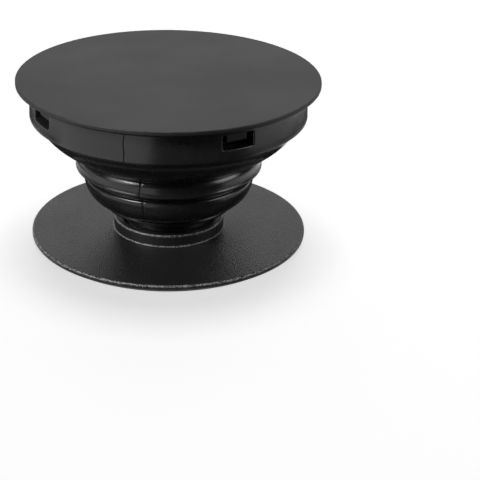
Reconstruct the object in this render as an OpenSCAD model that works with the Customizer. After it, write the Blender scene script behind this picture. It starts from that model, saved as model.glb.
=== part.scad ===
// Phone grip: a flat round cap on a folding bellows neck, snapped on to
// a thin round base plate that sticks to the back of a phone.
// It stands raised. Every outline below is a radius and a height.

/* [Cap] */
// Diameter of the disc that the fingers rest on
cap_d = 40; // [38.5:0.5:44]
// Thickness of the disc
cap_t = 0.9; // [0.8:0.05:1.2]
// Width of the bevel under the disc's edge
cap_bevel = 0.5; // [0.3:0.05:0.6]
// Height of the snap ring under the disc
snap_ring_h = 2.9; // [2.6:0.1:3.1]

/* [Bellows] */
// Outer diameter of the top wall, at its lower edge
rim_d = 36.7; // [36:0.1:37]
// Wall thickness of the top wall
rim_t = 1.75; // [1.5:0.05:1.9]
// Height of the top wall
rim_h = 3.95; // [3.9:0.05:4.2]
// Height of the upper folding web
upper_web_h = 5.2; // [4.6:0.1:6]
// Outer diameter of the middle ring
ring_d = 24.8; // [24:0.2:25.6]
// Height of the middle ring
ring_h = 2.15; // [2:0.05:2.6]
// Height of the lower folding web
lower_web_h = 5; // [4.6:0.1:5.6]
// Thickness of both webs
web_t = 0.75; // [0.6:0.05:0.85]

/* [Snap windows] */
// Number of windows around the top wall, and around the foot
window_n = 4; // [3:1:6]
// Turn of the first window
window_turn = 31; // [0:1:90]
// Width of a window in the top wall
window_w = 4.3; // [3.8:0.1:5]
// Height of a window in the top wall
window_h = 1.85; // [1.7:0.05:1.95]

/* [Base] */
// Diameter of the base plate
base_d = 37.2; // [36:0.2:40]
// Thickness of the base plate
base_t = 0.75; // [0.7:0.05:1]
// Outer diameter of the collar around the bellows' foot
collar_d = 15; // [14.6:0.1:15.6]
// Height of the collar above the plate
collar_h = 1.65; // [1.4:0.05:1.9]
// Diameter of the adhesive pad and of its liner
pad_d = 35; // [32:0.5:35.5]
// Thickness of the adhesive pad
pad_t = 0.5; // [0.4:0.1:0.8]

/* [Hidden] */
$fn = 96;

// Clearances
seat_gap = 0.05;
slip_gap = 0.2;

// Heights, from the surface that the grip stands on
liner_t = 0.1;
pad_top = liner_t + pad_t;
plate_top = pad_top + base_t;
foot_bottom = plate_top + seat_gap;
foot_h = 4;
neck_z = foot_bottom + foot_h;
ring_bottom = neck_z + lower_web_h;
ring_top = ring_bottom + ring_h;
rim_bottom = ring_top + upper_web_h;
rim_top = rim_bottom + rim_h;
cap_under = rim_top + seat_gap;
cap_top = cap_under + cap_t;

// Radii
cap_r = cap_d / 2;
rim_r = rim_d / 2;
ring_r = ring_d / 2;
base_r = base_d / 2;
collar_r = collar_d / 2;
collar_t = 1;
foot_r = collar_r - collar_t - slip_gap;
foot_t = 1.1;
boss_r = foot_r - foot_t - slip_gap;
boss_t = 1;
boss_h = 2;

// Mouldings of the bellows
wall_draft = 0.15;
edge_r = 0.45;
shoulder_r = 0.35;
// The webs join the walls this far inside their outer faces
upper_web_in = 1.25;
ring_in = 1.7;
// Depth of the groove under the ring, where the neck bends
groove_in = 1.1;
// The lower web swells out to a shoulder of its own below the ring
swell_drop = 1.15;
swell_in = 0.55;
swell_r = 0.6;
lip_r = 8.6;
lip_t = 0.2;
fillet_r = 0.3;

// Snap lugs: wedges that a straight push carries into the windows
snap_ring_r = rim_r - rim_t - 0.15;
snap_ring_t = 1.2;
window_top = rim_top - 0.75;
cap_lug_w = 2.8;
cap_lug_out = 1.25;
cap_lug_h = 1.45;
cap_lug_top = window_top - 0.15;
slit_w = 0.5;
foot_window_w = 3.4;
foot_window_h = 1.15;
foot_window_z = plate_top + 0.35;
base_lug_w = 3;
base_lug_out = 1;
base_lug_h = 0.9;
base_lug_z = foot_window_z + 0.15;

// Points on an arc of a circle, from angle a0 to angle a1
function arc(centre, r, a0, a1, n = 5) =
    [for (i = [0:n]) let (a = a0 + (a1 - a0) * i / n) centre + r * [cos(a), sin(a)]];

// Point, and direction, on a curve that leaves a towards c and ends at b
function curve_at(a, c, b, t) = (1 - t) * (1 - t) * a + 2 * t * (1 - t) * c + t * t * b;
function curve_way(a, c, b, t) = let (v = (1 - t) * (c - a) + t * (b - c)) v / norm(v);

// Points on that curve, moved sideways by d
function curve(a, c, b, d = 0, n = 10) =
    [for (i = [0:n]) let (t = i / n, way = curve_way(a, c, b, t))
        curve_at(a, c, b, t) + d * [way[1], -way[0]]];

function reverse(list) = [for (i = [len(list) - 1:-1:0]) list[i]];

// The two webs, each as its start, the point it bends towards, and its end
upper_web = [
    [rim_r - upper_web_in, rim_bottom],
    [rim_r - upper_web_in - 0.5, rim_bottom - 0.48 * upper_web_h],
    [ring_r - shoulder_r, ring_top],
];
lower_web = [
    [ring_r - swell_in, ring_bottom - swell_drop],
    [ring_r - swell_in - 0.1, ring_bottom - 0.81 * lower_web_h],
    [lip_r, neck_z],
];

// Outer face of the bellows, from the top down
function bellows_outside() = concat(
    [[rim_r - rim_t, rim_top], [rim_r - wall_draft, rim_top]],
    arc([rim_r - edge_r, rim_bottom + edge_r], edge_r, 0, -90),
    curve(upper_web[0], upper_web[1], upper_web[2]),
    arc([ring_r - shoulder_r, ring_top - shoulder_r], shoulder_r, 80, 0),
    arc([ring_r - edge_r, ring_bottom + edge_r], edge_r, 0, -90),
    [[ring_r - groove_in, ring_bottom]],
    arc([ring_r - swell_in - swell_r, ring_bottom - swell_drop], swell_r, 90, 10),
    curve(lower_web[0], lower_web[1], lower_web[2]),
    arc([lip_r - lip_t, neck_z - lip_t / 2], lip_t / 2, 0, -90, 3),
    arc([foot_r + fillet_r, neck_z - lip_t - fillet_r], fillet_r, 90, 180, 4),
    [[foot_r, foot_bottom]]
);

// Inner face of the bellows, from the top down
function bellows_inside() = concat(
    [[rim_r - rim_t, rim_bottom + 0.5]],
    curve(upper_web[0], upper_web[1], upper_web[2], web_t),
    [[ring_r - ring_in, ring_top], [ring_r - ring_in, ring_bottom]],
    curve(lower_web[0], lower_web[1], lower_web[2], web_t),
    arc([foot_r - foot_t + 2 * fillet_r, neck_z + web_t - lip_t - 2 * fillet_r], 2 * fillet_r, 90, 180, 4),
    [[foot_r - foot_t, foot_bottom]]
);

// Repeats its child at every window
module at_windows() {
    for (i = [0:window_n - 1])
        rotate([0, 0, window_turn + 360 * i / window_n]) children();
}

// Rectangle with cut corners, centred
module cut_rectangle(w, h, cut) {
    x = w / 2;
    y = h / 2;
    polygon([
        [x, y - cut], [x - cut, y], [cut - x, y], [-x, y - cut],
        [-x, cut - y], [cut - x, -y], [x - cut, -y], [x, cut - y],
    ]);
}

// Cutter for a window in a wall at radius r, from height z up
module window(r, z, w, h) {
    depth = 4;
    translate([r - depth / 2, 0, z + h / 2])
        rotate([90, 0, 90])
            linear_extrude(depth) cut_rectangle(w, h, 0.25);
}

// Solid of width w from an outline of radius and height
module radial_bar(w, outline) {
    rotate([90, 0, 0]) linear_extrude(w, center = true) polygon(outline);
}

// Smooth disc, with a ring beneath it whose four sprung lugs snap
// outwards into the windows of the bellows
module cap() {
    edge = 0.12;
    bevel_h = 0.42;
    ring_bottom_z = cap_under - snap_ring_h;
    color("#3a3a3c") difference() {
        union() {
            rotate_extrude() polygon(concat(
                [[0, cap_under]],
                [[cap_r - cap_bevel - 0.1, cap_under], [cap_r - cap_bevel, cap_under + 0.06]],
                [[cap_r, cap_under + bevel_h]],
                arc([cap_r - edge, cap_top - edge], edge, 0, 90, 4),
                [[0, cap_top]]
            ));
            rotate_extrude() polygon([
                [snap_ring_r - snap_ring_t, ring_bottom_z],
                [snap_ring_r - 0.3, ring_bottom_z],
                [snap_ring_r, ring_bottom_z + 0.3],
                [snap_ring_r, cap_under + 0.1],
                [snap_ring_r - snap_ring_t, cap_under + 0.1],
            ]);
            at_windows() radial_bar(cap_lug_w, [
                [snap_ring_r - 0.3, cap_lug_top - cap_lug_h],
                [snap_ring_r + cap_lug_out, cap_lug_top - 0.9],
                [snap_ring_r + cap_lug_out, cap_lug_top],
                [snap_ring_r - 0.3, cap_lug_top],
            ]);
        }
        // Slits that free each lug's stretch of the ring
        at_windows() for (side = [-1, 1])
            translate([snap_ring_r - 3, side * (cap_lug_w + slit_w + 0.2) / 2 - slit_w / 2, ring_bottom_z - 1])
                cube([6, slit_w, snap_ring_h + 1]);
    }
}

// One soft moulding: stiff top wall, middle ring and foot, joined by
// two thin webs that fold inside each other as the cap is pushed down
module bellows() {
    color("#2a2a2c") difference() {
        rotate_extrude() polygon(concat(bellows_outside(), reverse(bellows_inside())));
        at_windows() window(rim_r, window_top - window_h, window_w, window_h);
        at_windows() window(foot_r, foot_window_z, foot_window_w, foot_window_h);
    }
}

// Thin plate with a collar, and inside it a boss whose lugs hold the
// bellows' foot; a slot under each lug lets the mould close
module base_plate() {
    edge = 0.25;
    brim = 0.2;
    brim_z = plate_top + collar_h - brim;
    color("#3c3c3e") difference() {
        union() {
            rotate_extrude() polygon(concat(
                [[0, pad_top]],
                arc([base_r - edge, pad_top + edge], edge, -90, 0, 4),
                arc([base_r - edge, plate_top - edge], edge, 0, 90, 4),
                [[collar_r, plate_top]],
                arc([collar_r - brim, brim_z], brim, 0, 90, 4),
                arc([collar_r - collar_t + brim, brim_z], brim, 90, 180, 4),
                [[collar_r - collar_t, plate_top], [boss_r, plate_top]],
                arc([boss_r - brim, plate_top + boss_h - brim], brim, 0, 90, 4),
                [[boss_r - boss_t, plate_top + boss_h]],
                [[boss_r - boss_t, plate_top], [0, plate_top]]
            ));
            at_windows() radial_bar(base_lug_w, [
                [boss_r - 0.3, base_lug_z],
                [boss_r + base_lug_out, base_lug_z],
                [boss_r + base_lug_out, base_lug_z + 0.3],
                [boss_r - 0.3, base_lug_z + base_lug_h],
            ]);
        }
        at_windows() translate([boss_r, -base_lug_w / 2, pad_top - 1])
            cube([base_lug_out + 0.1, base_lug_w, foot_window_z - pad_top + 1]);
    }
}

// Double-sided foam pad that sticks the base plate to the phone
module adhesive_pad() {
    color("#1c1c1d") translate([0, 0, liner_t]) cylinder(h = pad_t, d = pad_d);
}

// Paper that covers the pad until it is used
module release_liner() {
    color("#e9e6dc") cylinder(h = liner_t, d = pad_d);
}

release_liner();
adhesive_pad();
base_plate();
bellows();
cap();
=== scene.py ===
import math

import bmesh
import bpy
import numpy as np
from mathutils import Matrix, Vector


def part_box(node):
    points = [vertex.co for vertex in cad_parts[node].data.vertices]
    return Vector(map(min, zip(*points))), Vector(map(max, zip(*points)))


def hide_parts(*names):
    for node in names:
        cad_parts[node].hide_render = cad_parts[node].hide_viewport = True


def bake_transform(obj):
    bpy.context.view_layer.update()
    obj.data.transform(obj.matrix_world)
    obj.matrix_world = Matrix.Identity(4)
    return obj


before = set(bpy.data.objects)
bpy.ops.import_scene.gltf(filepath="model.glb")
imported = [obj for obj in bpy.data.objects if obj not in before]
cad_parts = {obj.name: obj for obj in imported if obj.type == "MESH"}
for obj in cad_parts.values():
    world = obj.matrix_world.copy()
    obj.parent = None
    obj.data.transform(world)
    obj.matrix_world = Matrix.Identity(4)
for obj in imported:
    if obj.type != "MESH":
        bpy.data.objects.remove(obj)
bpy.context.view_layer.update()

bl_info = {
    "name": "Phone grip",
    "version": (1, 0, 0),
    "blender": (4, 5, 0),
    "location": "View3D > Sidebar > Phone grip",
    "description": "Dresses the phone grip: folding neck, moulded finishes and a pale studio",
    "category": "Object",
}

MM = 0.001
NECK_LOW, NECK_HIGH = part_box("bellows")

# Points of the neck that lie closer than this are one, and a shorter edge is none, in metres
SAME_POINT = 2e-7
NO_EDGE = 1e-8

# Heights of a unit normal between which the band of an edge comes in, and goes out again
BAND_RISE = (0.15, 0.45)
BAND_FALL = (0.85, 0.985)


class GripSizes(bpy.types.PropertyGroup):
    """Sizes of the neck that the boxes of the parts in model.glb don't give"""

    rim_wall: bpy.props.FloatProperty(
        name="Top wall", description="Thickness of the wall under the cap",
        default=1.75 * MM, unit="LENGTH")
    rim_height: bpy.props.FloatProperty(
        name="Top wall height", description="Height of the wall under the cap",
        default=3.95 * MM, unit="LENGTH")
    upper_web: bpy.props.FloatProperty(
        name="Upper web height", description="Height of the web that folds under the top wall",
        default=5.2 * MM, unit="LENGTH")
    ring_radius: bpy.props.FloatProperty(
        name="Ring radius", description="Outer radius of the middle ring",
        default=12.4 * MM, unit="LENGTH")
    ring_height: bpy.props.FloatProperty(
        name="Ring height", description="Height of the middle ring",
        default=2.15 * MM, unit="LENGTH")
    ring_wall: bpy.props.FloatProperty(
        name="Ring wall", description="Thickness of the middle ring",
        default=1.7 * MM, unit="LENGTH")
    lower_web: bpy.props.FloatProperty(
        name="Lower web height", description="Height of the web that folds round the collar",
        default=5.0 * MM, unit="LENGTH")
    web_wall: bpy.props.FloatProperty(
        name="Web thickness", description="Thickness of the two thin webs",
        default=0.75 * MM, unit="LENGTH")
    lip_radius: bpy.props.FloatProperty(
        name="Lip radius", description="Outer radius of the lip above the foot",
        default=8.6 * MM, unit="LENGTH")
    foot_radius: bpy.props.FloatProperty(
        name="Foot radius", description="Outer radius of the foot in the collar",
        default=6.3 * MM, unit="LENGTH")
    foot_wall: bpy.props.FloatProperty(
        name="Foot wall", description="Thickness of the foot",
        default=1.1 * MM, unit="LENGTH")
    window_turn: bpy.props.FloatProperty(
        name="Window turn", description="Turn of the first snap window",
        default=math.radians(31), unit="ROTATION")
    window_width: bpy.props.FloatProperty(
        name="Window width", description="Width of a snap window in the top wall",
        default=4.3 * MM, unit="LENGTH")
    window_height: bpy.props.FloatProperty(
        name="Window height", description="Height of a snap window in the top wall",
        default=1.85 * MM, unit="LENGTH")
    window_drop: bpy.props.FloatProperty(
        name="Window drop", description="From the top of the wall down to the window",
        default=0.75 * MM, unit="LENGTH")
    seam_turn: bpy.props.FloatProperty(
        name="Seam turn", description="Turn of the mould's parting line, half way between two windows",
        default=math.radians(-104), unit="ROTATION")
    seam_depth: bpy.props.FloatProperty(
        name="Seam depth", description="Depth of the parting line",
        default=0.07 * MM, unit="LENGTH")


class GripFinish(bpy.types.PropertyGroup):
    """Colours of the finishes, as written in sRGB"""

    cap_colour: bpy.props.StringProperty(
        name="Cap", description="Colour of the smooth matte disc", default="#1b1b1c")
    neck_colour: bpy.props.StringProperty(
        name="Neck", description="Colour of the soft neck", default="#1a1a1b")
    base_colour: bpy.props.StringProperty(
        name="Base", description="Colour of the grained base plate", default="#1c1c1d")
    # Cap edge: paler colour painted along the disc's edges, a painted highlight
    cap_edge_highlight_colour: bpy.props.StringProperty(
        name="Cap edge", description="Colour of the rubbed edge of the disc", default="#303031")
    # Base edge: pale colour painted in specks along the plate's and collar's edges, a painted highlight
    base_edge_highlight_colour: bpy.props.StringProperty(
        name="Base edge", description="Colour of the grain along the base's edges", default="#868687")
    pad_colour: bpy.props.StringProperty(
        name="Pad", description="Colour of the foam pad", default="#1b1b1c")
    liner_colour: bpy.props.StringProperty(
        name="Liner", description="Colour of the liner's paper", default="#e6e2d6")
    floor_colour: bpy.props.StringProperty(
        name="Floor", description="Colour of the floor and backdrop", default="#f7f7f7")


class GripStage(bpy.types.PropertyGroup):
    """Camera and light"""

    focal_length: bpy.props.FloatProperty(
        name="Focal length", description="Focal length in millimetres on a 36 mm sensor",
        default=105.83, unit="CAMERA")
    camera_place: bpy.props.FloatVectorProperty(
        name="Camera", description="Where the camera stands, from the middle of the grip",
        default=(9.833 * MM, -175.523 * MM, 84.278 * MM), unit="LENGTH", precision=5)
    camera_pitch: bpy.props.FloatProperty(
        name="Pitch", description="How far the camera looks down",
        default=math.radians(25.9), unit="ROTATION")
    camera_roll: bpy.props.FloatProperty(
        name="Roll", description="How far the camera leans to its side",
        default=math.radians(1.49), unit="ROTATION")


# Colour and node helpers


def linear(colour):
    """An sRGB hex colour as linear red, green, blue and alpha."""
    code = np.array([int(colour[i:i + 2], 16) for i in (1, 3, 5)]) / 255
    light = np.where(code <= 0.04045, code / 12.92, ((code + 0.055) / 1.055) ** 2.4)
    return (*light, 1.0)


def shade(colour, factor):
    """A linear colour made lighter or darker by a factor."""
    return (*(channel * factor for channel in colour[:3]), 1.0)


def feed(tree, node, inputs):
    """Gives sockets of a node, by name or number, a value or the output that feeds them."""
    for socket, value in inputs.items():
        if isinstance(value, bpy.types.NodeSocket):
            tree.links.new(value, node.inputs[socket])
        else:
            node.inputs[socket].default_value = value


def add_node(tree, kind, inputs=None, **settings):
    """Adds a node, with its settings and what its sockets are fed."""
    node = tree.nodes.new(kind)
    for name, value in settings.items():
        setattr(node, name, value)
    feed(tree, node, inputs or {})
    return node


def new_material(name):
    """An empty node material and its shader."""
    material = bpy.data.materials.new(name)
    material.use_nodes = True
    tree = material.node_tree
    tree.nodes.clear()
    shader = add_node(tree, "ShaderNodeBsdfPrincipled")
    add_node(tree, "ShaderNodeOutputMaterial", {"Surface": shader.outputs["BSDF"]})
    return material, tree, shader


def object_place(tree):
    """The place on the object, in metres."""
    return add_node(tree, "ShaderNodeTexCoord").outputs["Object"]


def noise(tree, place, size_mm, detail=3.0, roughness=0.5):
    """Noise whose blotches are about size_mm across."""
    inputs = {"Vector": place, "Scale": 1 / (size_mm * MM), "Detail": detail, "Roughness": roughness}
    return add_node(tree, "ShaderNodeTexNoise", inputs).outputs["Fac"]


def ramp(tree, factor, low, high, low_at=0.3, high_at=0.7):
    """A colour that goes from low to high as the factor does."""
    node = add_node(tree, "ShaderNodeValToRGB", {"Fac": factor})
    node.color_ramp.elements[0].position = low_at
    node.color_ramp.elements[0].color = low
    node.color_ramp.elements[1].position = high_at
    node.color_ramp.elements[1].color = high
    return node.outputs["Color"]


def span(tree, factor, low, high, low_at=0.3, high_at=0.7):
    """A number that goes from low to high as the factor does."""
    inputs = {"Value": factor, "From Min": low_at, "From Max": high_at, "To Min": low, "To Max": high}
    return add_node(tree, "ShaderNodeMapRange", inputs).outputs["Result"]


def soft_edges(tree, radius_mm):
    """The normal, with edges rounded to that radius."""
    return add_node(tree, "ShaderNodeBevel", {"Radius": radius_mm * MM}, samples=8).outputs["Normal"]


def product(tree, first, second):
    """Two numbers multiplied, each a value or an output."""
    inputs = {0: first, 1: second}
    return add_node(tree, "ShaderNodeMath", inputs, operation="MULTIPLY").outputs["Value"]


def edge_band(tree, normal):
    """1 along the edges of an upright turned piece, 0 on its level and upright faces: the
    height of the rounded normal is near 0 or 1 on the faces and between them on an edge."""
    height = add_node(tree, "ShaderNodeSeparateXYZ", {"Vector": normal}).outputs["Z"]
    rise = span(tree, height, 0.0, 1.0, *BAND_RISE)
    fall = span(tree, height, 1.0, 0.0, *BAND_FALL)
    return product(tree, rise, fall)


def mixed(tree, factor, low, high):
    """A colour that goes from low to high, each a colour or an output, as the factor does."""
    inputs = {"Factor": factor, "A": low, "B": high}
    return add_node(tree, "ShaderNodeMix", inputs, data_type="RGBA").outputs["Result"]


def bump(tree, height, depth_mm, normal=None):
    """A bump from a height between 0 and 1, depth_mm deep."""
    inputs = {"Height": height, "Strength": 1.0, "Distance": depth_mm * MM}
    if normal:
        inputs["Normal"] = normal
    return add_node(tree, "ShaderNodeBump", inputs).outputs["Normal"]


# Materials


def smooth_matte_abs(colour, edge_highlight_colour):
    """ABS disc from a lightly blasted mould: an even satin black, with a faint cloudiness where hands
    have polished it, and a paler colour along its edges that is a painted highlight, broken up by noise."""
    material, tree, shader = new_material("smooth_matte_abs")
    place = object_place(tree)
    cloud = noise(tree, place, size_mm=9.0, detail=4.0)
    body = ramp(tree, cloud, shade(linear(colour), 0.94), shade(linear(colour), 1.06))
    edges = soft_edges(tree, radius_mm=0.2)
    # Paler colour along the edges, broken up by noise: a painted edge highlight
    highlight_breakup = span(tree, noise(tree, place, size_mm=1.2), 0.2, 1.0, low_at=0.4, high_at=0.6)
    painted_edge_highlight = product(tree, edge_band(tree, edges), highlight_breakup)
    # Blasting grit of about 0.06 mm, drawn at twice that so that it shows
    grit = noise(tree, place, size_mm=0.12, detail=2.0)
    feed(tree, shader, {
        "Base Color": mixed(tree, painted_edge_highlight, body, linear(edge_highlight_colour)),
        "Roughness": span(tree, cloud, 0.47, 0.53),
        "Normal": bump(tree, grit, depth_mm=0.0012, normal=edges),
        "IOR": 1.4})
    return material


def spark_eroded_abs(colour, edge_highlight_colour):
    """ABS plate from a spark-eroded mould: a fine even grain, with pale specks painted along its edges
    and the collar's brim as painted highlights and glints."""
    material, tree, shader = new_material("spark_eroded_abs")
    place = object_place(tree)
    cloud = noise(tree, place, size_mm=6.0)
    body = ramp(tree, cloud, shade(linear(colour), 0.92), shade(linear(colour), 1.08))
    edges = soft_edges(tree, radius_mm=0.42)
    # Pale specks painted along the edges: painted highlights and glints, not a colour of the grain
    glint_specks = noise(tree, place, size_mm=0.2, detail=1.0)
    glint_specks = span(tree, glint_specks, 0.05, 1.0, low_at=0.42, high_at=0.58)
    painted_edge_glints = product(tree, edge_band(tree, edges), glint_specks)
    grain = noise(tree, place, size_mm=0.2, detail=1.5, roughness=0.6)
    feed(tree, shader, {
        "Base Color": mixed(tree, painted_edge_glints, body, linear(edge_highlight_colour)),
        "Roughness": span(tree, cloud, 0.27, 0.33),
        "Normal": bump(tree, grain, depth_mm=0.09, normal=edges),
        "IOR": 1.4})
    return material


def moulded_tpu(colour):
    """Soft TPU neck from a polished mould: satin black with a slight bloom, smeared where it has been
    bent, and darker in the parting line's valley, which is painted shade."""
    material, tree, shader = new_material("moulded_tpu")
    bloom = noise(tree, object_place(tree), size_mm=3.5, detail=4.0, roughness=0.6)
    body = ramp(tree, bloom, shade(linear(colour), 0.9), shade(linear(colour), 1.15))
    # Darker by the depth of the parting line's valley: painted shade in that groove
    seam = add_node(tree, "ShaderNodeAttribute", attribute_name="seam").outputs["Fac"]
    feed(tree, shader, {
        "Base Color": mixed(tree, seam, body, shade(linear(colour), 0.3)),
        "Roughness": span(tree, bloom, 0.2, 0.3),
        "IOR": 1.5})
    return material


def closed_cell_foam(colour):
    """Acrylic foam pad, die cut: dull black, its cells cut open at the surface."""
    material, tree, shader = new_material("closed_cell_foam")
    cell_mm = 0.15
    inputs = {"Vector": object_place(tree), "Scale": 1 / (cell_mm * MM)}
    cells = add_node(tree, "ShaderNodeTexVoronoi", inputs).outputs["Distance"]
    feed(tree, shader, {
        "Base Color": ramp(tree, cells, shade(linear(colour), 0.7), linear(colour), 0.1, 0.6),
        "Roughness": 0.9,
        "Normal": bump(tree, cells, depth_mm=0.02)})
    return material


def coated_paper(colour):
    """Siliconised liner paper: smooth and pale, with faint fibres."""
    material, tree, shader = new_material("coated_paper")
    fibres = noise(tree, object_place(tree), size_mm=0.5, detail=5.0, roughness=0.7)
    feed(tree, shader, {
        "Base Color": ramp(tree, fibres, shade(linear(colour), 0.93), linear(colour)),
        "Roughness": span(tree, fibres, 0.34, 0.42),
        "Normal": bump(tree, fibres, depth_mm=0.004)})
    return material


# Outlines: arrays of radius and height


def corner_arc(before, corner, after, radius, n=7):
    """Arc of that radius that rounds a corner, from its first leg to its second: the circle
    that touches both legs."""
    a, b = before - corner, after - corner
    a, b = a / np.linalg.norm(a), b / np.linalg.norm(b)
    half = math.acos(np.clip(a @ b, -1, 1)) / 2
    middle = (a + b) / np.linalg.norm(a + b)
    centre = corner + middle * radius / math.sin(half)
    start, end = corner + a * radius / math.tan(half), corner + b * radius / math.tan(half)
    first = math.atan2(*(start - centre)[::-1])
    turn = (math.atan2(*(end - centre)[::-1]) - first + math.pi) % (2 * math.pi) - math.pi
    angle = first + turn * np.linspace(0, 1, n)
    return centre + radius * np.stack([np.cos(angle), np.sin(angle)], 1)


def rounded(corners, radii):
    """Open outline through the corners, each one rounded by its radius."""
    corners = np.array(corners, float)
    parts = [corners[:1]]
    for i in range(1, len(corners) - 1):
        if radii[i]:
            parts.append(corner_arc(corners[i - 1], corners[i], corners[i + 1], radii[i]))
        else:
            parts.append(corners[i:i + 1])
    return np.concatenate([*parts, corners[-1:]])


def bent(a, c, b, shift=0.0, n=25):
    """Curve that leaves a towards c and arrives at b from c, a quadratic one, moved
    sideways by shift along its normal."""
    t = np.linspace(0, 1, n)[:, None]
    a, c, b = np.array(a), np.array(c), np.array(b)
    way = (1 - t) * (c - a) + t * (b - c)
    way = way / np.linalg.norm(way, axis=1)[:, None]
    point = (1 - t) ** 2 * a + 2 * t * (1 - t) * c + t ** 2 * b
    return point + shift * np.stack([way[:, 1], -way[:, 0]], 1)


def eased(n):
    """2n + 1 numbers from -1 to 1, crowded towards the ends: a sine of even steps."""
    return np.sin(np.linspace(-1, 1, 2 * n + 1) * math.pi / 2)


def turn_between(first, second):
    """Angle between two turns, at most half a turn."""
    return np.abs((first - second + math.pi) % (2 * math.pi) - math.pi)


# Meshes


def grid_faces(rows, columns, keep):
    """Quads between neighbouring points of a grid that closes in both directions, where
    keep is true."""
    i, j = np.meshgrid(np.arange(rows), np.arange(columns), indexing="ij")
    up, on = (i + 1) % rows, (j + 1) % columns
    quads = np.stack([i * columns + j, i * columns + on, up * columns + on, up * columns + j], -1)
    return quads[keep]


def make_piece(name, points, faces, seam, material):
    """Mesh piece from points in millimetres. Points that coincide are joined, and the
    faces are turned outwards. Seam is a number for each point, kept as an attribute."""
    mesh = bpy.data.meshes.new(name)
    mesh.from_pydata(points * MM, [], faces.tolist())
    mesh.attributes.new("seam", "FLOAT", "POINT").data.foreach_set("value", seam)
    work = bmesh.new()
    work.from_mesh(mesh)
    bmesh.ops.remove_doubles(work, verts=work.verts, dist=SAME_POINT)
    bmesh.ops.dissolve_degenerate(work, edges=work.edges, dist=NO_EDGE)
    bmesh.ops.recalc_face_normals(work, faces=work.faces)
    work.to_mesh(mesh)
    work.free()
    mesh.polygons.foreach_set("use_smooth", np.ones(len(mesh.polygons), bool))
    mesh.materials.append(material)
    piece = bpy.data.objects.new(name, mesh)
    bpy.context.scene.collection.objects.link(piece)
    return piece


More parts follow.
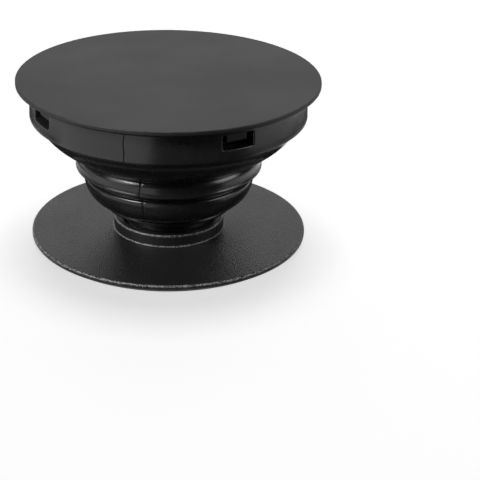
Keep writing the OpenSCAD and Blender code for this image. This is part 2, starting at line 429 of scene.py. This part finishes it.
class Turned:
    """A turned solid with snap windows: a closed outline of radius and height carried
    round the axis, with sleeves through its wall at the windows. In millimetres."""

    WINDOWS = 4
    # Steps of the grid over half a window's patch, round the axis and upwards
    COLUMNS = 8
    ROWS = 6
    # Power of the superellipse that a window's hole follows
    CORNER = 12.0
    # Degrees between columns on a plain stretch
    STEP = 1.5
    # Columns beside a parting line and the stretch that they take up, in degrees
    SEAM_COLUMNS = (0, 0.12, 0.25, 0.4, 0.6, 0.9)
    SEAM_REACH = 1.4
    # Turn that even columns keep clear of the crowded ones
    CLEARANCE = 0.002
    # Turn past the last column that stands for the middle of the step after it
    PAST_LAST = 1e-4
    # Parting line: how far it wanders, in degrees, the waves and the start of that, the
    # widths of its valley and its banks, and the height of the banks
    WANDER = 0.25
    WAVES = (2.1, 0.7)
    WAVE_START = 0.5
    VALLEY = 0.09
    BANKS = 0.25
    BANK_HEIGHT = 0.25
    # Radius of a hole's lip on the outer and on the inner face
    OUTER_LIP = 0.22
    INNER_LIP = 0.12
    # Rows of a sleeve: shares of the way from the patch's edge to the lip, degrees over the lip
    PATCH_SHARES = (0, 0.35, 0.7, 0.9)
    LIP_TURNS = (0, 18, 36, 54, 72, 90)

    def __init__(self, outline, outer, inner, sizes, window, seam_rows, seam_fade):
        """Outer and inner are the slices of outline rows between which a window passes;
        window is its width, height, middle height, and the reach of the patch round it.
        Seam rows is the slice with the parting line, seam fade heights and its depth there."""
        self.outline = outline
        self.outer, self.inner = outer, inner
        self.sizes = sizes
        self.width, self.height, self.middle, self.reach_turn, self.reach_up = window
        self.seam_rows, self.seam_fade = seam_rows, seam_fade
        self.turns = sizes.window_turn + np.arange(self.WINDOWS) * 2 * math.pi / self.WINDOWS
        self.columns = self.column_turns()

    def column_turns(self):
        """Turns of the grid's columns: even, crowded at window edges and at the seams."""
        even = np.radians(np.arange(0, 360, self.STEP))
        near = (self.turns[:, None] + eased(self.COLUMNS) * self.reach_turn).ravel()
        seams = self.sizes.seam_turn + np.array([0, math.pi])
        offsets = np.radians(self.SEAM_COLUMNS)
        close = (seams[:, None] + np.concatenate([offsets, -offsets[1:]])).ravel()
        for special, reach in ((self.turns, self.reach_turn), (seams, np.radians(self.SEAM_REACH))):
            away = turn_between(even[:, None], special)
            even = even[(away > reach + self.CLEARANCE).all(1)]
        return np.sort(np.concatenate([even, near, close]) % (2 * math.pi))

    def seam(self, turn, radius, height):
        """Depth factor of the parting line: a narrow valley with a low bank on each side,
        the difference of two bell curves, along a slightly wandering meridian."""
        first, second = self.WAVES
        swing = np.sin(height * first + self.WAVE_START) * np.sin(height * second)
        wander = np.radians(self.WANDER) * swing
        away = (turn - self.sizes.seam_turn - wander + math.pi / 2) % math.pi - math.pi / 2
        valley = (1 + self.BANK_HEIGHT) * np.exp(-(away * radius / self.VALLEY) ** 2)
        banks = self.BANK_HEIGHT * np.exp(-(away * radius / self.BANKS) ** 2)
        return (valley - banks) * np.interp(height, *self.seam_fade)

    def body(self):
        """Grid of the whole outline, less the patches round the windows."""
        radius, height = self.outline[:, :1], self.outline[:, 1:]
        turn = self.columns[None, :] + 0 * radius
        outside = np.zeros(len(self.outline))
        outside[self.seam_rows] = 1
        factor = self.seam(turn, radius, height) * outside[:, None]
        r = radius - self.sizes.seam_depth / MM * factor
        points = np.stack([r * np.cos(turn), r * np.sin(turn), height + 0 * turn], -1)
        middle = (turn + np.roll(turn, -1, 1)) / 2
        # The last column is followed by the first, so their mean isn't the step's middle
        middle[:, -1] = turn[:, -1] + self.PAST_LAST
        in_turn = (turn_between(middle[..., None], self.turns) < self.reach_turn).any(-1)
        in_rows = np.zeros(len(self.outline), bool)
        for rows in (self.outer, self.inner):
            in_rows[rows.start:rows.stop - 1] = True
        keep = ~(in_turn & in_rows[:, None])
        faces = grid_faces(len(self.outline), len(self.columns), keep)
        # The clipped depth of the parting line is kept as the seam attribute, which darkens the neck as
        # painted shade
        return points.reshape(-1, 3), faces, np.clip(factor, 0, 1).ravel()

    def window_loop(self):
        """A loop round a window: its points on the unit square, across and up, and on the
        hole, a superellipse that is all but a square."""
        u, w = eased(self.COLUMNS), eased(self.ROWS)
        one_u, one_w = np.ones(len(u) - 1), np.ones(len(w) - 1)
        across = np.concatenate([u[:-1], one_w, u[:0:-1], -one_w])
        up = np.concatenate([-one_u, w[:-1], one_u, w[:0:-1]])
        shrink = (np.abs(across) ** self.CORNER + np.abs(up) ** self.CORNER) ** (-1 / self.CORNER)
        hole = np.stack([across * shrink * self.width / 2, up * shrink * self.height / 2], 1)
        return across, up, hole

    def face_rows(self, outline_rows, lip, inwards):
        """Rows of a sleeve on one face of the wall, from the patch's edge over the lip into
        the hole. Inwards is the sign of that way along the radius."""
        across, up, hole = self.window_loop()
        line = self.outline[outline_rows]
        line = line[np.argsort(line[:, 1])]
        radius = np.interp(self.middle + up * self.reach_up, line[:, 1], line[:, 0])
        edge = np.stack([radius * np.sin(across * self.reach_turn), up * self.reach_up], 1)
        out = edge - hole
        out = out / np.linalg.norm(out, axis=1)[:, None]
        way = [(edge + (hole + out * lip - edge) * share, 0.0) for share in self.PATCH_SHARES]
        for angle in np.radians(self.LIP_TURNS):
            way.append((hole + out * lip * (1 - math.sin(angle)), lip * (1 - math.cos(angle))))
        rows = []
        for flat, depth in way:
            z = self.middle + flat[:, 1]
            radius = np.interp(z, line[:, 1], line[:, 0])
            x = np.sqrt(radius ** 2 - flat[:, 0] ** 2) + inwards * depth
            rows.append(np.stack([x, flat[:, 0], z], 1))
        return rows

    def sleeve(self, turn):
        """Sleeve through the wall at one window. Its loops run round the window; its rows
        go from the patch's edge on the outer face, over a rounded lip, through the wall
        and out to the patch's edge on the inner face."""
        outer = self.face_rows(self.outer, self.OUTER_LIP, -1)
        inner = self.face_rows(self.inner, self.INNER_LIP, 1)
        rows = np.array(outer + inner[::-1])
        spun = rows.copy()
        spun[..., 0] = rows[..., 0] * math.cos(turn) - rows[..., 1] * math.sin(turn)
        spun[..., 1] = rows[..., 0] * math.sin(turn) + rows[..., 1] * math.cos(turn)
        keep = np.ones(rows.shape[:2], bool)
        keep[-1] = False
        return spun.reshape(-1, 3), grid_faces(*keep.shape, keep)

    def build(self, name, material):
        """The whole piece."""
        points, faces, seam = self.body()
        all_points, all_faces, all_seams = [points], [faces], [seam]
        count = len(points)
        for turn in self.turns:
            points, faces = self.sleeve(turn)
            all_points.append(points)
            all_faces.append(faces + count)
            all_seams.append(np.zeros(len(points)))
            count += len(points)
        return make_piece(name, np.concatenate(all_points), np.concatenate(all_faces),
                          np.concatenate(all_seams).astype(np.float32), material)


def neck_heights(sizes):
    """Heights of the neck's stations, in millimetres, from the top of its wall down."""
    top = NECK_HIGH.z
    rim = top - sizes.rim_height
    ring_top = rim - sizes.upper_web
    ring_low = ring_top - sizes.ring_height
    lip = ring_low - sizes.lower_web
    return [h / MM for h in (top, rim, ring_top, ring_low, lip, NECK_LOW.z)]


def join_outline(*parts):
    """One closed outline from its parts, and the slice of rows that each part takes."""
    slices, start = [], 0
    for part in parts:
        slices.append(slice(start, start + len(part)))
        start += len(part)
    return np.concatenate(parts), slices


class GRIP_OT_neck(bpy.types.Operator):
    """Makes the soft neck, as two pieces that meet in the groove under the middle ring"""

    bl_idname = "grip.neck"
    bl_label = "Neck"

    # Top wall: how far it narrows upwards, the roundings of its upper edges, how far its
    # lower edge hangs under the web's start, and the roundings there and at the web
    DRAFT = 0.15
    TOP_EDGES = (0.12, 0.15)
    BEAD = 0.15
    LOW_EDGES = (0.25, 0.1)
    # Windows of the top wall: reach of the patch round each, upwards past the hole and in turn
    PATCH_MARGIN = 0.45
    PATCH_TURN = math.radians(8.6)
    # Upper web: how far inside the wall it starts, and the point that its curve makes for,
    # further inside and a share of the web's height down
    WEB_IN = 0.95
    WEB_PULL = (1.3, 0.5)
    # Middle ring: how far its edges stand out, how much less its middle does, the depth of
    # the crease above it, and the arcs of its upper edge as radius, first and last turn
    BULGE = 0.1
    FLARE = 0.2
    CREASE = 0.56
    RING_ARCS = ((1.7, 44, 20), (0.5, 20, 0))
    # Its lower edge: height where the hollow face ends, the rounding, and how far in it goes
    FACE_END = 0.3
    RING_ROUND = 0.25
    UNDER_RING = 1.1
    # Height of the row of points inside the ring
    RING_ROW = 0.7
    # Groove under the ring: points of its wall, in and down from the ring's lower edge
    GROOVE = ((1.35, 0), (1.35, 0.86), (1.33, 0.9))
    # Lower web: its shoulder, its swell and the point that its curve makes for, in from the
    # ring's edge, and down from it or a share of the web's height down
    SHOULDER = (1.02, 1.06)
    SHOULDER_ROUND = 0.35
    SWELL = (1.0, 1.6)
    SWELL_PULL = (1.15, 0.79)
    # Bead of the lip: its middle, in and down from the lip, its radius, first and last turn
    LIP_BEAD = (0.2, 0.25)
    LIP_ROUND = 0.33
    LIP_TURNS = (100, -80)
    # Below the lip: drop and rounding of its underside, and the rounding on the inner side
    LIP = 0.2
    NECK_ROUND = 0.4
    BEND_ROUND = 0.6
    # Foot: rounding of its end, and its windows' width and height, the height of their lower
    # edge above the foot's end, and the reach of the patch, in turn and up from the middle
    FOOT_ROUND = 0.07
    FOOT_WINDOW = (3.4, 1.15)
    FOOT_WINDOW_UP = 0.3
    FOOT_PATCH = (math.radians(24), 0.8)
    # Parting line: its depth on the upper web, as a share of that on wall and ring, and the
    # stretches above the ring and under the wall in which it changes; then on the lower web,
    # where it fades out towards the lip, its share and its distance from lip and ring
    WEB_SEAM = 0.2
    SEAM_CHANGE = (0.4, 0.7)
    LOW_SEAM = 0.6
    LOW_CHANGE = 1.5
    # Heights for blends of the webs, which nothing in the script reads: how far above the ring the upper
    # web starts to give, how far under the lip the lower one does, and how far under the ring it ends
    STILL_RING = 0.25
    STILL_FOOT = 0.95
    STILL_GROOVE = 0.05

    def ring_shoulder(self, corner):
        """The ring's upper edge, from the crease down: a wide arc, then a narrow one that
        runs out into the ring's face."""
        steps = []
        for radius, first, last in self.RING_ARCS:
            turn = np.radians(np.linspace(first, last, num=8))
            arc = radius * np.stack([np.cos(turn), np.sin(turn)], 1)
            steps.append(np.diff(arc, axis=0))
        line = np.concatenate([[[0, 0]], np.cumsum(np.concatenate(steps), axis=0)])
        return line - [line[-1, 0], 0] + np.array(corner)

    def upper(self, s, material):
        """From the groove up: middle ring, upper web, top wall with its windows. The wall's
        outer face is a straight taper, the web a quadratic curve with a second one its own
        thickness inside, and the ring's face is hollow, by a fourth power of the way down."""
        top, rim, ring_top, ring_low = neck_heights(s)[:4]
        out = NECK_HIGH.x / MM
        wall_in, web, ring = out - s.rim_wall / MM, s.web_wall / MM, s.ring_radius / MM
        ring_in, ring_edge = ring - s.ring_wall / MM, ring + self.BULGE
        high = s.window_height / MM
        middle, reach_up = top - s.window_drop / MM - high / 2, high / 2 + self.PATCH_MARGIN
        levels = middle + eased(Turned.ROWS) * reach_up
        slope = self.DRAFT / (top - rim)
        face = np.stack([out - (levels - rim) * slope, levels], 1)
        inner = np.stack([wall_in + 0 * levels, levels], 1)
        rim_top = rounded([(wall_in, face[-1, 1]), (wall_in, top), (out - self.DRAFT, top), face[-1]],
                          [0, *self.TOP_EDGES, 0])[1:-1]
        start = (out - self.WEB_IN, rim)
        pull_in, pull_down = self.WEB_PULL
        towards = (out - pull_in, rim - pull_down * s.upper_web / MM)
        end = (ring_edge - self.CREASE, ring_top)
        corner = rounded([face[0], (out, rim - self.BEAD), (start[0], rim - self.BEAD), start],
                         [0, *self.LOW_EDGES, 0])[1:-1]
        shoulder = self.ring_shoulder((ring_edge - self.FLARE, ring_top))
        down = np.linspace(0, 1, num=9)[1:]
        face_high, face_low = shoulder[-1, 1], ring_low + self.FACE_END
        ring_face = np.stack([ring_edge - self.FLARE * (1 - down ** 4),
                              face_high + (face_low - face_high) * down], 1)
        bottom = rounded([ring_face[-1], (ring_edge, ring_low), (ring - self.UNDER_RING, ring_low)],
                         [0, self.RING_ROUND, 0])[1:]
        inside = np.array([(ring_in, ring_low), (ring_in, ring_low + self.RING_ROW), (ring_in, ring_top)])
        outline, part = join_outline(
            inner, rim_top, face[::-1], corner, bent(start, towards, end), shoulder, ring_face,
            bottom, inside, bent(start, towards, end, web)[::-1])
        window = (s.window_width / MM, high, middle, self.PATCH_TURN, reach_up)
        above, under = self.SEAM_CHANGE
        seam_fade = ((ring_top, ring_top + above, rim - under, rim),
                     (1, self.WEB_SEAM, self.WEB_SEAM, 1))
        turned = Turned(outline, part[2], part[0], s, window,
                        slice(part[2].start, part[7].stop - 1), seam_fade)
        piece = turned.build("neck_upper", material)
        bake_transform(piece)
        return piece

    def lower(self, s, material):
        """From the foot to the groove: foot with its windows, lip, lower web and its swell.
        The web is a quadratic curve with a second one its own thickness inside, its shoulder
        and the lip's bead are arcs, and the foot is straight."""
        ring_low, lip, foot = neck_heights(s)[3:]
        ring, web = s.ring_radius / MM, s.web_wall / MM
        foot_r, lip_r = s.foot_radius / MM, s.lip_radius / MM
        foot_in = foot_r - s.foot_wall / MM
        wide, high = self.FOOT_WINDOW
        reach_turn, reach_up = self.FOOT_PATCH
        middle = foot + self.FOOT_WINDOW_UP + high / 2
        levels = middle + eased(Turned.ROWS) * reach_up
        face = np.stack([foot_r + 0 * levels, levels], 1)
        inner = np.stack([foot_in + 0 * levels, levels], 1)
        ring_edge = np.array([ring, ring_low])
        swell = ring_edge - self.SWELL
        pull_in, pull_down = self.SWELL_PULL
        towards = ring_edge - (pull_in, pull_down * s.lower_web / MM)
        end = (lip_r, lip)
        groove = ring_edge - self.GROOVE
        shoulder = corner_arc(groove[-1], ring_edge - self.SHOULDER, swell, self.SHOULDER_ROUND)
        turn = np.radians(np.linspace(*self.LIP_TURNS, num=9))
        around = np.stack([np.cos(turn), np.sin(turn)], 1)
        bead = np.array(end) - self.LIP_BEAD + self.LIP_ROUND * around
        underside = rounded([bead[-1], (foot_r, lip - self.LIP), face[-1]],
                            [0, self.NECK_ROUND, 0])[1:-1]
        foot_end = rounded([face[0], (foot_r, foot), (foot_in, foot), inner[0]],
                           [0, self.FOOT_ROUND, self.FOOT_ROUND, 0])[1:-1]
        web_inside = bent(swell, towards, end, web)
        bend = rounded([inner[-1], (foot_in, lip + web - self.LIP), web_inside[-1]],
                       [0, self.BEND_ROUND, 0])[1:-1]
        top_in = np.array([(ring - s.ring_wall / MM, ring_low)])
        outline, part = join_outline(
            groove, shoulder, bent(swell, towards, end)[:-1], np.concatenate([bead, underside]),
            face[::-1], foot_end, inner, bend, web_inside[::-1], top_in)
        window = (wide, high, middle, reach_turn, reach_up)
        seam_fade = ((lip, lip + self.LOW_CHANGE, ring_low - self.LOW_CHANGE),
                     (0, self.LOW_SEAM, 1))
        turned = Turned(outline, part[4], part[6], s, window,
                        slice(part[0].start + 1, part[4].stop), seam_fade)
        piece = turned.build("neck_lower", material)
        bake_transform(piece)
        return piece

    def execute(self, context):
        sizes = context.scene.grip_sizes
        material = moulded_tpu(context.scene.grip_finish.neck_colour)
        for piece in (self.upper(sizes, material), self.lower(sizes, material)):
            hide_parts("bellows")
        return {"FINISHED"}


def dress(node, material):
    """Gives a CAD node its finish."""
    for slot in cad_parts[node].material_slots:
        slot.material = material


class GRIP_OT_cap(bpy.types.Operator):
    """Finishes the cap, whose shape model.glb gives"""

    bl_idname = "grip.cap"
    bl_label = "Cap"

    def execute(self, context):
        finish = context.scene.grip_finish
        dress("cap", smooth_matte_abs(finish.cap_colour, finish.cap_edge_highlight_colour))
        return {"FINISHED"}


class GRIP_OT_base(bpy.types.Operator):
    """Finishes the base plate, whose shape model.glb gives"""

    bl_idname = "grip.base"
    bl_label = "Base plate"

    def execute(self, context):
        finish = context.scene.grip_finish
        dress("base_plate", spark_eroded_abs(finish.base_colour, finish.base_edge_highlight_colour))
        return {"FINISHED"}


class GRIP_OT_underside(bpy.types.Operator):
    """Finishes the adhesive pad and its liner"""

    bl_idname = "grip.underside"
    bl_label = "Pad and liner"

    def execute(self, context):
        finish = context.scene.grip_finish
        dress("adhesive_pad", closed_cell_foam(finish.pad_colour))
        dress("release_liner", coated_paper(finish.liner_colour))
        return {"FINISHED"}


class GRIP_OT_stage(bpy.types.Operator):
    """Makes the floor, the lights and the camera"""

    bl_idname = "grip.stage"
    bl_label = "Stage"

    # Floor, in metres: half its width, where it starts to sweep up, the sweep's radius and the
    # backdrop's top; and how much it glows by itself
    FLOOR_HALF = 3.0
    FLOOR_DEPTH = 2.0
    SWEEP = 1.0
    BACKDROP_TOP = 3.0
    FLOOR_GLOW = 0.7
    # Lamps: turn from the front to the right and rise in degrees, distance and size in
    # metres, power in watts. The accents leave the floor out.
    LAMPS = (("back_softbox", 180, 35, 0.9, 0.8, 0.9),
             ("top_softbox", 180, 78, 0.7, 0.28, 1.5))
    ACCENTS = (("left_softbox", -62, 22, 0.5, 0.2, 0.42),
               ("right_softbox", 80, 25, 0.5, 0.25, 0.9),
               ("key_lamp", -49, 37, 0.5, 0.13, 2.6))
    AIM_HEIGHT = 0.012
    # Dark cards that stand behind the grip: first and last turn, radius, start and height
    WINGS = (("left_wing", -140, -85), ("right_wing", 110, 140))
    WING_RADIUS = 0.6
    WING_START = 0.001
    WING_HEIGHT = 0.4
    # Dark ring just above the floor: where it starts, how far it reaches all round, at the
    # back left and in the sector in front, the turn where the back left ends, and the sector
    CARD_HEIGHT = 0.0005
    FLAG_START = 0.0192
    FLAG_NEAR = 0.028
    FLAG_LEFT = 0.035
    FLAG_FAR = 0.8
    LEFT_UNTIL = -80
    FRONT_TURNS = (-10, 62)
    # Dark band round the sides and the back: its two radii, and its first and last turn
    BAND = (0.05, 0.066)
    BAND_TURNS = (62, 278)
    CARD_COLOUR = "#101010"
    # Camera: width of its sensor in millimetres, nearest and farthest distance in metres
    SENSOR = 36
    CLIP = (0.01, 20)

    def pale_card(self, colour):
        """Pale matte card, which also glows a little where the camera sees it, straight, in a
        reflection or through something clear. So it looks white and lights nothing matte."""
        material, tree, shader = new_material("pale_card")
        rays = add_node(tree, "ShaderNodeLightPath").outputs
        seen = rays["Is Camera Ray"]
        for ray in ("Is Glossy Ray", "Is Transmission Ray"):
            inputs = {0: seen, 1: rays[ray]}
            seen = add_node(tree, "ShaderNodeMath", inputs, operation="ADD").outputs["Value"]
        feed(tree, shader, {
            "Base Color": linear(colour),
            "Roughness": 0.9,
            "Specular IOR Level": 0.0,
            "Emission Color": (1, 1, 1, 1),
            "Emission Strength": product(tree, seen, self.FLOOR_GLOW)})
        return material

    def floor(self, colour):
        """Flat sheet that sweeps up behind into a backdrop: a quarter circle between two planes."""
        turn = np.linspace(0, math.pi / 2, num=33)
        y = np.concatenate([[-self.FLOOR_HALF], self.FLOOR_DEPTH + self.SWEEP * np.sin(turn),
                            [self.FLOOR_DEPTH + self.SWEEP]])
        z = np.concatenate([[0], self.SWEEP - self.SWEEP * np.cos(turn), [self.BACKDROP_TOP]])
        x = np.array([-self.FLOOR_HALF, self.FLOOR_HALF])
        points = np.stack([np.repeat(x, len(y)), np.tile(y, 2), np.tile(z, 2)], 1)
        i = np.arange(len(y) - 1)
        faces = np.stack([i, i + len(y), i + len(y) + 1, i + 1], 1)
        mesh = bpy.data.meshes.new("floor")
        mesh.from_pydata(points, [], faces.tolist())
        mesh.polygons.foreach_set("use_smooth", np.ones(len(mesh.polygons), bool))
        mesh.materials.append(self.pale_card(colour))
        floor = bpy.data.objects.new("floor", mesh)
        bpy.context.scene.collection.objects.link(floor)
        return floor

    def lights(self, floor):
        """The lamps. Those that light everything come first, then the accents."""
        not_floor = bpy.data.collections.new("not_lit_by_accents")
        not_floor.objects.link(floor)
        not_floor.collection_objects[0].light_linking.link_state = "EXCLUDE"
        for lamp in self.LAMPS:
            self.softbox(*lamp)
        for lamp in self.ACCENTS:
            self.softbox(*lamp).light_linking.receiver_collection = not_floor

    def softbox(self, name, turn, rise, distance, size, power):
        """Soft square lamp that looks at the grip."""
        turn, rise = math.radians(turn), math.radians(rise)
        data = bpy.data.lights.new(name, "AREA")
        data.shape = "SQUARE"
        data.size = size
        data.energy = power
        lamp = bpy.data.objects.new(name, data)
        level = math.cos(rise)
        way = Vector((math.sin(turn) * level, -math.cos(turn) * level, math.sin(rise)))
        lamp.location = Vector((0, 0, self.AIM_HEIGHT)) + way * distance
        lamp.rotation_euler = way.to_track_quat("Z", "Y").to_euler()
        bpy.context.scene.collection.objects.link(lamp)
        return lamp

    def flag(self):
        """Dark cards on the floor: a ring round the base plate with a sector that reaches far
        out in front, and a band round its sides and back."""
        first, last = self.FRONT_TURNS
        turns = np.linspace(-180, 180, num=91)
        near = np.where(turns < self.LEFT_UNTIL, self.FLAG_LEFT, self.FLAG_NEAR)
        far = np.where((turns > first) & (turns < last), self.FLAG_FAR, near)
        self.flat_card("dark_card", turns, self.FLAG_START, far)
        self.flat_card("dark_band", np.linspace(*self.BAND_TURNS, num=55), *self.BAND)

    def flat_card(self, name, turns, inner, outer):
        """Flat strip just above the floor, between two radii over a range of turns."""
        turn = np.radians(turns)
        edge = np.stack([np.sin(turn), -np.cos(turn), 0 * turn], 1)
        reach = np.broadcast_to(outer, turn.shape)[:, None]
        self.dark_card(name, (edge * inner, edge * reach), self.CARD_HEIGHT)

    def wings(self):
        """Dark cards that stand left and right behind the grip: parts of a cylinder."""
        for name, first, last in self.WINGS:
            turn = np.radians(np.linspace(first, last, num=13))
            foot = self.WING_RADIUS * np.stack([np.sin(turn), -np.cos(turn), 0 * turn], 1)
            self.dark_card(name, (foot, foot + (0, 0, self.WING_HEIGHT)), self.WING_START)

    def dark_card(self, name, edges, height):
        """Black card between two edges with as many points, at a height above the floor. Only
        the grip's reflections show it, and it throws no shadow."""
        count = len(edges[0])
        i = np.arange(count - 1)
        faces = np.stack([i, i + 1, i + 1 + count, i + count], 1)
        mesh = bpy.data.meshes.new(name)
        mesh.from_pydata(np.concatenate(edges) + (0, 0, height), [], faces.tolist())
        material, tree, shader = new_material("black_card")
        feed(tree, shader, {"Base Color": linear(self.CARD_COLOUR), "Roughness": 1.0})
        mesh.materials.append(material)
        card = bpy.data.objects.new(name, mesh)
        bpy.context.scene.collection.objects.link(card)
        card.visible_camera = False
        card.visible_shadow = False
        card.visible_diffuse = False

    def camera(self, stage):
        """Camera that looks along +Y, down by the pitch, leaning by the roll."""
        data = bpy.data.cameras.new("camera")
        data.lens = stage.focal_length
        data.sensor_width = self.SENSOR
        data.clip_start, data.clip_end = self.CLIP
        camera = bpy.data.objects.new("camera", data)
        camera.matrix_world = (
            Matrix.Translation(stage.camera_place)
            @ Matrix.Rotation(math.pi / 2 - stage.camera_pitch, 4, "X")
            @ Matrix.Rotation(stage.camera_roll, 4, "Z"))
        bpy.context.scene.collection.objects.link(camera)
        bpy.context.scene.camera = camera

    def world(self):
        """Black surroundings: all the light comes from the lamps and the floor."""
        world = bpy.data.worlds.new("studio")
        world.use_nodes = True
        world.node_tree.nodes["Background"].inputs["Strength"].default_value = 0.0
        bpy.context.scene.world = world

    def execute(self, context):
        scene = context.scene
        self.lights(self.floor(scene.grip_finish.floor_colour))
        self.flag()
        self.wings()
        self.camera(scene.grip_stage)
        self.world()
        scene.view_settings.view_transform = "Standard"
        return {"FINISHED"}


class GRIP_PT_panel(bpy.types.Panel):
    """Panel that lists the pieces"""

    bl_label = "Phone grip"
    bl_idname = "GRIP_PT_panel"
    bl_space_type = "VIEW_3D"
    bl_region_type = "UI"
    bl_category = "Phone grip"

    def draw(self, context):
        scene = context.scene
        for group in (scene.grip_sizes, scene.grip_finish, scene.grip_stage):
            box = self.layout.box()
            for name in group.__annotations__:
                box.prop(group, name)
        for operator in OPERATORS:
            self.layout.operator(operator.bl_idname)


OPERATORS = (GRIP_OT_stage, GRIP_OT_cap, GRIP_OT_neck, GRIP_OT_base, GRIP_OT_underside)
CLASSES = (GripSizes, GripFinish, GripStage, *OPERATORS, GRIP_PT_panel)


def register():
    for item in CLASSES:
        bpy.utils.register_class(item)
    bpy.types.Scene.grip_sizes = bpy.props.PointerProperty(type=GripSizes)
    bpy.types.Scene.grip_finish = bpy.props.PointerProperty(type=GripFinish)
    bpy.types.Scene.grip_stage = bpy.props.PointerProperty(type=GripStage)


def unregister():
    del bpy.types.Scene.grip_sizes, bpy.types.Scene.grip_finish, bpy.types.Scene.grip_stage
    for item in reversed(CLASSES):
        bpy.utils.unregister_class(item)


def main():
    """Makes every piece and the stage."""
    register()
    bpy.ops.grip.stage()
    bpy.ops.grip.cap()
    bpy.ops.grip.neck()
    bpy.ops.grip.base()
    bpy.ops.grip.underside()


if __name__ == "__main__":
    main()
